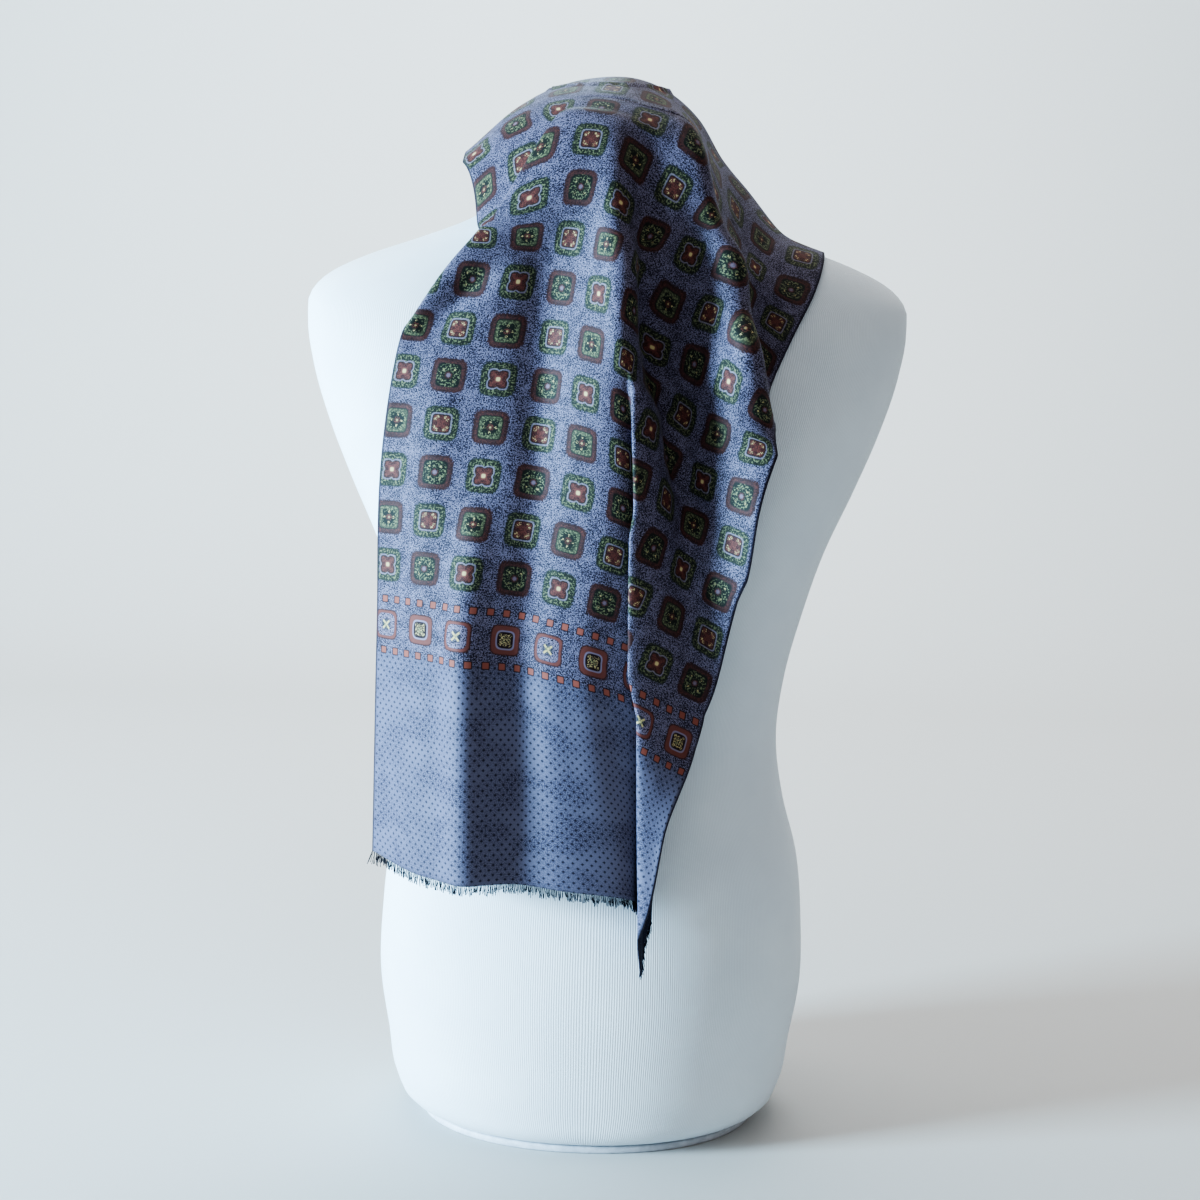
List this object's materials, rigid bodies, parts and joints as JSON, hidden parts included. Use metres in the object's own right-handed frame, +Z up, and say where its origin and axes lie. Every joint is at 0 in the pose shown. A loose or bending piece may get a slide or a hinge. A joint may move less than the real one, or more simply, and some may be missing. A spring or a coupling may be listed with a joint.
{
  "type": "fringed scarf on a dress form",
  "caption": "Narrow printed foulard scarf with frayed ends, draped over the neck and one shoulder of a limbless dress form that stands on its flat base.",
  "frame": {"origin": "centre of the flat underside of the base board, on the floor", "axes": "+Z up; the front of the form and of the scarf faces -Y; +X is to the right as seen from the front"},
  "size_m": [0.4, 0.3042, 0.7116],
  "materials": {
    "form_jersey": "fine knitted cover, matt",
    "base_board": "plain, matt",
    "printed_foulard": "light twill, faint sheen, printed on the face",
    "yarn_ends": "loose frayed yarn"
  },
  "bodies": {
    "root": {"dress_form": "form_jersey", "base_plate": "base_board", "scarf": "printed_foulard", "fringe_front": "yarn_ends", "fringe_back": "yarn_ends"}
  },
  "joints": []
}
